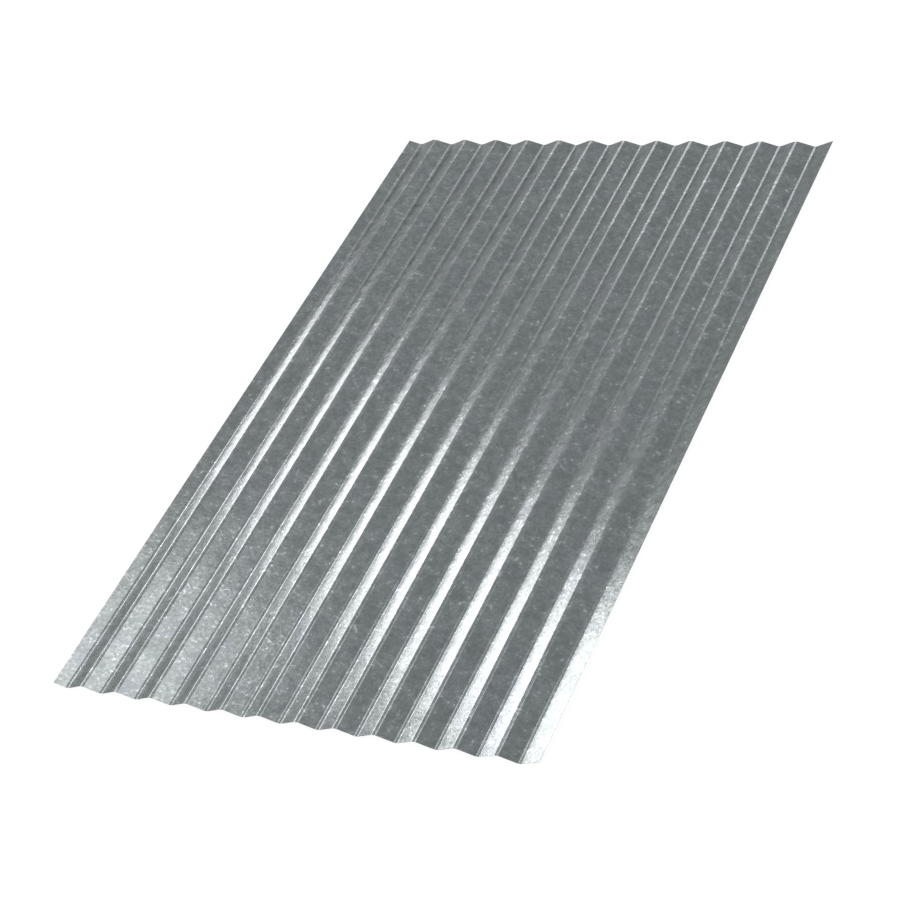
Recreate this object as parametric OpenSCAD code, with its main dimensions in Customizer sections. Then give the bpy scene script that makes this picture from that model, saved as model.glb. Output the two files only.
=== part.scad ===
// Corrugated roofing and walling sheet, rolled from one strip of galvanised steel.
// X runs across the waves, Y along them and Z up. The sheet lies on its valleys at Z = 0,
// centred on the origin.

/* [Waves] */
// Width that one laid sheet covers, from the centre of its first valley to that of its last
cover_width = 1100; // [900:1:1300]
// Number of whole waves in the cover width
wave_count = 12; // [8:1:14]
// Height of a crest's top above a valley's underside
wave_depth = 15; // [12:0.1:20]
// Width of the flat strip along each crest
crest_flat = 3.5; // [1:0.1:12]
// Width of the flat strip along each valley
valley_flat = 2.5; // [1:0.1:12]
// Radius of every bend, at the middle of the metal
bend_radius = 13; // [4:0.1:16]

/* [Sheet] */
// Length along the waves
sheet_length = 1870; // [500:1:6000]
// Thickness of the metal
sheet_thickness = 0.5; // [0.35:0.05:1]

/* [Side edges] */
// Reach of the left edge beyond the centre of the first valley
left_reach = 33; // [20:0.5:44]
// Reach of the right edge beyond the centre of the last valley, where it rises past the crests
right_reach = 48; // [24:0.5:60]

/* [Hidden] */

zinc_grey = [0.55, 0.57, 0.57];

// Flat facets that round each bend
bend_steps = 6;

// One wave, and its height between the middles of the metal
pitch = cover_width / wave_count;
depth = wave_depth - sheet_thickness;

// The slope that joins a valley's bend to a crest's bend so that all three are tangent
slope_run = (pitch - crest_flat - valley_flat) / 2;
slope_lift = depth - 2 * bend_radius;
slope = atan2(slope_lift, slope_run) + asin(2 * bend_radius / norm([slope_run, slope_lift]));

// The first valley's centre, with the whole width centred on X = 0
first_valley = -(cover_width + right_reach - left_reach) / 2;

// A station on the middle line of the metal is [x, z, heading], with x from a valley's centre.

// From a valley's flat up into the slope
function valley_bend() = [
    for (k = [0 : bend_steps])
        let (turn = slope * k / bend_steps)
        [valley_flat / 2 + bend_radius * sin(turn), bend_radius * (1 - cos(turn)), turn]
];

// From the slope over to a crest's flat
function crest_bend() = [
    for (k = [0 : bend_steps])
        let (turn = slope * (1 - k / bend_steps))
        [(pitch - crest_flat) / 2 - bend_radius * sin(turn), depth - bend_radius * (1 - cos(turn)), turn]
];

// Half a wave, from valley to crest
function rise() = concat(valley_bend(), crest_bend());

// An outer edge, where the slope runs on straight until the metal is cut
function lip(reach) =
    let (start = valley_bend()[bend_steps])
    concat(valley_bend(), [[reach, start[1] + (reach - start[0]) * tan(slope), slope]]);

function mirrored(line) = [
    for (k = [len(line) - 1 : -1 : 0]) [-line[k][0], line[k][1], -line[k][2]]
];

function moved(line, x) = [for (s = line) [s[0] + x, s[1], s[2]]];

middle_line = concat(
    moved(mirrored(lip(left_reach)), first_valley),
    [
        for (i = [0 : wave_count - 1])
            each concat(
                moved(rise(), first_valley + i * pitch),
                moved(mirrored(rise()), first_valley + (i + 1) * pitch)
            )
    ],
    moved(lip(right_reach), first_valley + cover_width)
);

// One face of the metal, square to the middle line, at a height above the floor
function face(offset) = [
    for (s = middle_line)
        [s[0] - offset * sin(s[2]), s[1] + offset * cos(s[2]) + sheet_thickness / 2]
];

function reversed(points) = [for (k = [len(points) - 1 : -1 : 0]) points[k]];

module section() {
    polygon(concat(face(-sheet_thickness / 2), reversed(face(sheet_thickness / 2))));
}

module corrugated_sheet() {
    color(zinc_grey)
        rotate([90, 0, 0])
            linear_extrude(sheet_length, center = true)
                section();
}

corrugated_sheet();
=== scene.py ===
from math import pi, radians

import bpy
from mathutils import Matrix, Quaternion, Vector

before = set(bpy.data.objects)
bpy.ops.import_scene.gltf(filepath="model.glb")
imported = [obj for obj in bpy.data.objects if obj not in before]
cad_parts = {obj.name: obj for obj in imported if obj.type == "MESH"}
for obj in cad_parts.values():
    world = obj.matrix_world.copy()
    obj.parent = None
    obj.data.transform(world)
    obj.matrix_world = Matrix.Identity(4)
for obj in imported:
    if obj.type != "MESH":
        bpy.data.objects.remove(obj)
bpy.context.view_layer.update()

WHITE = (1.0, 1.0, 1.0, 1.0)

scene = bpy.context.scene
scene.view_settings.view_transform = "Standard"


# Shader nodes

class Tree:
    """Shader nodes by short calls: each makes a node and gives the socket that it puts out."""

    def __init__(self, material):
        material.use_nodes = True
        self.nodes = material.node_tree.nodes
        self.links = material.node_tree.links
        self.shader = self.nodes["Principled BSDF"].inputs

    def set(self, socket, value):
        """Links a socket to what another node puts out, or gives it a constant."""
        if hasattr(value, "is_linked"):
            self.links.new(value, socket)
        else:
            socket.default_value = value

    def place(self):
        return self.nodes.new("ShaderNodeTexCoord").outputs["Object"]

    def noise(self, place, scale, detail, roughness=0.5, distortion=0.0):
        node = self.nodes.new("ShaderNodeTexNoise")
        self.set(node.inputs["Vector"], place)
        node.inputs["Scale"].default_value = scale
        node.inputs["Detail"].default_value = detail
        node.inputs["Roughness"].default_value = roughness
        node.inputs["Distortion"].default_value = distortion
        return node.outputs["Fac"]

    def flakes(self, place, scale):
        """Cells with a random value each."""
        node = self.nodes.new("ShaderNodeTexVoronoi")
        self.set(node.inputs["Vector"], place)
        node.inputs["Scale"].default_value = scale
        apart = self.nodes.new("ShaderNodeSeparateColor")
        self.set(apart.inputs["Color"], node.outputs["Color"])
        return apart.outputs["Red"]

    def span(self, value, low, high, new_low=0.0, new_high=1.0):
        """value from low to high, eased, as new_low to new_high."""
        node = self.nodes.new("ShaderNodeMapRange")
        node.interpolation_type = "SMOOTHSTEP"
        self.set(node.inputs["Value"], value)
        node.inputs["From Min"].default_value = low
        node.inputs["From Max"].default_value = high
        node.inputs["To Min"].default_value = new_low
        node.inputs["To Max"].default_value = new_high
        return node.outputs["Result"]

    def math(self, operation, a, b, clamp=False):
        node = self.nodes.new("ShaderNodeMath")
        node.operation = operation
        node.use_clamp = clamp
        self.set(node.inputs[0], a)
        self.set(node.inputs[1], b)
        return node.outputs[0]

    def mix(self, share, a, b, blend="MIX"):
        node = self.nodes.new("ShaderNodeMix")
        node.data_type = "RGBA"
        node.blend_type = blend
        self.set(node.inputs["Factor"], share)
        self.set(node.inputs[6], a)
        self.set(node.inputs[7], b)
        return node.outputs[2]

    def level(self):
        """How level the surface is: 1 along crests and valleys, less on the slopes."""
        apart = self.nodes.new("ShaderNodeSeparateXYZ")
        self.set(apart.inputs["Vector"], self.nodes.new("ShaderNodeTexCoord").outputs["Normal"])
        up = apart.outputs["Z"]
        return self.math("MAXIMUM", up, self.math("MULTIPLY", up, -1.0))

    def bump(self, height, distance, strength, under=None):
        node = self.nodes.new("ShaderNodeBump")
        node.inputs["Distance"].default_value = distance
        self.set(node.inputs["Strength"], strength)
        self.set(node.inputs["Height"], height)
        if under is not None:
            self.set(node.inputs["Normal"], under)
        return node.outputs["Normal"]


# Camera

CAMERA_PLACE = (2.4090, -2.9546, 3.0708)
CAMERA_AIM = (0.0290, -0.1501, 0.0)
CAMERA_ROLL = -23.527
CAMERA_LENS = 86.29
CAMERA_SENSOR = 36.0
CAMERA_REACH = 200.0


def aim_at(thing, place, aim, roll):
    """Puts a camera or lamp at place, looking at aim and rolled by so many degrees."""
    turn = (Vector(aim) - Vector(place)).to_track_quat("-Z", "Y")
    thing.location = place
    thing.rotation_mode = "QUATERNION"
    thing.rotation_quaternion = turn @ Quaternion((0, 0, 1), radians(roll))


def make_camera():
    data = bpy.data.cameras.new("camera")
    data.lens = CAMERA_LENS
    data.sensor_width = CAMERA_SENSOR
    data.clip_end = CAMERA_REACH
    camera = bpy.data.objects.new("camera", data)
    aim_at(camera, CAMERA_PLACE, CAMERA_AIM, CAMERA_ROLL)
    scene.collection.objects.link(camera)
    scene.camera = camera


# Studio

WORLD_LEVEL = 0.8
LAMP_COLOUR = (1.03, 0.985, 0.985)
FLOOR_DROP = 0.0005
FLOOR_HALF = 60.0
FLOOR_COLOUR = (0.07, 0.07, 0.07, 1.0)
FLOOR_GLOW = 0.95


def make_world():
    world = bpy.data.worlds.new("studio")
    scene.world = world
    world.use_nodes = True
    background = world.node_tree.nodes["Background"]
    background.inputs["Color"].default_value = WHITE
    background.inputs["Strength"].default_value = WORLD_LEVEL


def make_floor():
    """A floor that is seen as white, also in the metal, and takes the sheet's shadow."""
    mesh = bpy.data.meshes.new("floor")
    h = FLOOR_HALF
    z = -FLOOR_DROP
    mesh.from_pydata([(-h, -h, z), (h, -h, z), (h, h, z), (-h, h, z)], [], [(0, 1, 2, 3)])
    floor = bpy.data.objects.new("floor", mesh)
    scene.collection.objects.link(floor)
    material = bpy.data.materials.new("white_floor")
    tree = Tree(material)
    path = tree.nodes.new("ShaderNodeLightPath").outputs
    seen = tree.math("ADD", path["Is Camera Ray"], path["Is Glossy Ray"])
    seen = tree.math("ADD", seen, path["Is Transmission Ray"], clamp=True)
    tree.set(tree.shader["Base Color"], FLOOR_COLOUR)
    tree.set(tree.shader["Roughness"], 1.0)
    tree.set(tree.shader["Specular IOR Level"], 0.0)
    tree.set(tree.shader["Emission Color"], WHITE)
    tree.set(tree.shader["Emission Strength"], tree.math("MULTIPLY", seen, FLOOR_GLOW))
    mesh.materials.append(material)


def make_lamp(name, place, aim, width, height, level, roll=0.0):
    """A softbox that shows as a rectangle of that brightness in a mirror."""
    data = bpy.data.lights.new(name, "AREA")
    data.shape = "RECTANGLE"
    data.size = width
    data.size_y = height
    data.energy = level * pi * width * height
    data.color = LAMP_COLOUR
    lamp = bpy.data.objects.new(name, data)
    aim_at(lamp, place, aim, roll)
    lamp.visible_camera = False
    scene.collection.objects.link(lamp)


def make_lamps():
    # The bright bands along the waves
    make_lamp("strip_low", place=(-5.385, 2.910, 2.158), aim=(-0.709, 0.236, 2.158),
              width=1.038, height=3.954, level=7.4, roll=-10.8)
    make_lamp("strip_high", place=(-5.343, 1.112, 4.629), aim=(-0.250, -0.337, 4.629),
              width=1.213, height=2.991, level=12.1, roll=-5.4)
    # The glow on the near left corner
    make_lamp("overhead", place=(-0.755, -0.140, 2.495), aim=(-0.755, -0.140, 0.0),
              width=0.80, height=2.0, level=3.6, roll=-23.1)
    # The thin lines of the crests and valleys towards the far end
    make_lamp("far", place=(-2.220, 5.697, 3.902), aim=(0.0, 0.6, 0.0),
              width=1.92, height=0.61, level=5.9)
    make_lamp("far_left", place=(-3.650, 4.450, 3.500), aim=(0.0, 0.6, 0.0),
              width=1.9, height=0.9, level=0.7)
    # The waves as seen from the other sides
    make_lamp("rear_strip", place=(4.954, -1.582, 3.05), aim=(0.0, 0.4, 3.05),
              width=1.01, height=5.84, level=3.2, roll=-27.2)
    make_lamp("rear_far", place=(1.504, -4.050, 2.644), aim=(0.0, -0.6, 0.0),
              width=1.2, height=0.5, level=4.0)
    make_lamp("right_back", place=(3.5, 3.5, 2.0), aim=(0.0, 0.0, 0.0),
              width=1.2, height=2.4, level=3.0)
    make_lamp("left_front", place=(-3.5, -3.5, 2.0), aim=(0.0, 0.0, 0.0),
              width=1.2, height=2.4, level=3.0)


# Zinc colours

ZINC_LIGHT = (0.208, 0.234, 0.235, 1.0)
ZINC_DARK = (0.126, 0.143, 0.144, 1.0)
ZINC_BLUE = (1.018, 1.0, 1.05, 1.0)
ZINC_SPECK = (0.400, 0.438, 0.438, 1.0)
ZINC_EDGE = (0.68, 0.68, 0.68, 1.0)

# Zinc patterns: scale to the metre, detail, roughness, distortion

CLOUDS = (14.0, 4.0, 0.6, 0.3)
PATCHES = (8.0, 2.0, 0.5, 0.6)
MOTTLE = (48.0, 3.0, 0.6)
GRAIN = (150.0, 3.0, 0.65)
SPECKS = (120.0, 2.0, 0.6)
FLAKE_SCALE = 170.0

# Shares of the patterns in the tone and the roughness

CLOUD_SHARE = 0.30
MOTTLE_SHARE = 0.35
GRAIN_SHARE = 0.45
FLAKE_SHARE = 0.02

# Spans: low, high, and what they become where that isn't 0 and 1

TONE_SPAN = (0.36, 0.74)
BLUE_SPAN = (0.52, 0.64)
BRIGHT_SPECKS = (0.52, 0.74)
BRIGHT_MOTTLE = (0.46, 0.66, 0.1, 1.0)
METAL_SPECKS = (0.42, 0.62)
METAL_CLOUDS = (0.42, 0.62, 0.35, 1.0)
METAL_SPAN = (0.0, 1.0, 0.70, 1.0)
ROUGH_SPAN = (0.3, 0.7, 0.200, 0.240)
BURNISHED_SPAN = (0.945, 0.975, 1.0, 0.2)

# Depths of the relief in metres

CLOUD_DEPTH = 0.0009
MOTTLE_DEPTH = 0.00028
GRAIN_DEPTH = 0.00007


def make_zinc():
    """Dull hot-dip zinc: fine crystals and specks over soft clouds, some of them bluish."""
    material = bpy.data.materials.new("galvanised_zinc")
    tree = Tree(material)
    place = tree.place()
    clouds = tree.noise(place, *CLOUDS)
    patches = tree.noise(place, *PATCHES)
    mottle = tree.noise(place, *MOTTLE)
    grain = tree.noise(place, *GRAIN)
    flakes = tree.flakes(place, FLAKE_SCALE)
    specks = tree.noise(place, *SPECKS)

    tone = tree.math("MULTIPLY", clouds, CLOUD_SHARE)
    tone = tree.math("ADD", tone, tree.math("MULTIPLY", mottle, MOTTLE_SHARE))
    tone = tree.math("ADD", tone, tree.math("MULTIPLY", grain, GRAIN_SHARE))
    colour = tree.mix(tree.span(tone, *TONE_SPAN), ZINC_DARK, ZINC_LIGHT)
    colour = tree.mix(tree.span(patches, *BLUE_SPAN), colour, ZINC_BLUE, "MULTIPLY")
    bright = tree.math("MULTIPLY", tree.span(specks, *BRIGHT_SPECKS), tree.span(mottle, *BRIGHT_MOTTLE))
    colour = tree.mix(bright, colour, ZINC_SPECK)

    bare = tree.math("MULTIPLY", tree.span(specks, *METAL_SPECKS), tree.span(clouds, *METAL_CLOUDS))
    metal = tree.span(bare, *METAL_SPAN)
    rough = tree.math("ADD", tree.span(mottle, *ROUGH_SPAN), tree.math("MULTIPLY", flakes, FLAKE_SHARE))

    # The rollers press the relief flatter along the crests and valleys
    burnished = tree.span(tree.level(), *BURNISHED_SPAN)
    normal = tree.bump(clouds, CLOUD_DEPTH, burnished)
    normal = tree.bump(mottle, MOTTLE_DEPTH, burnished, normal)
    normal = tree.bump(tree.math("ADD", grain, specks), GRAIN_DEPTH, burnished, normal)

    tree.set(tree.shader["Base Color"], colour)
    tree.set(tree.shader["Metallic"], metal)
    tree.set(tree.shader["Specular Tint"], ZINC_EDGE)
    tree.set(tree.shader["Roughness"], rough)
    tree.set(tree.shader["Normal"], normal)
    return material


def dress_sheet():
    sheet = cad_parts["corrugated_sheet"]
    material = make_zinc()
    for slot in sheet.material_slots:
        slot.material = material


make_camera()
make_world()
make_floor()
make_lamps()
dress_sheet()

bpy.context.view_layer.update()
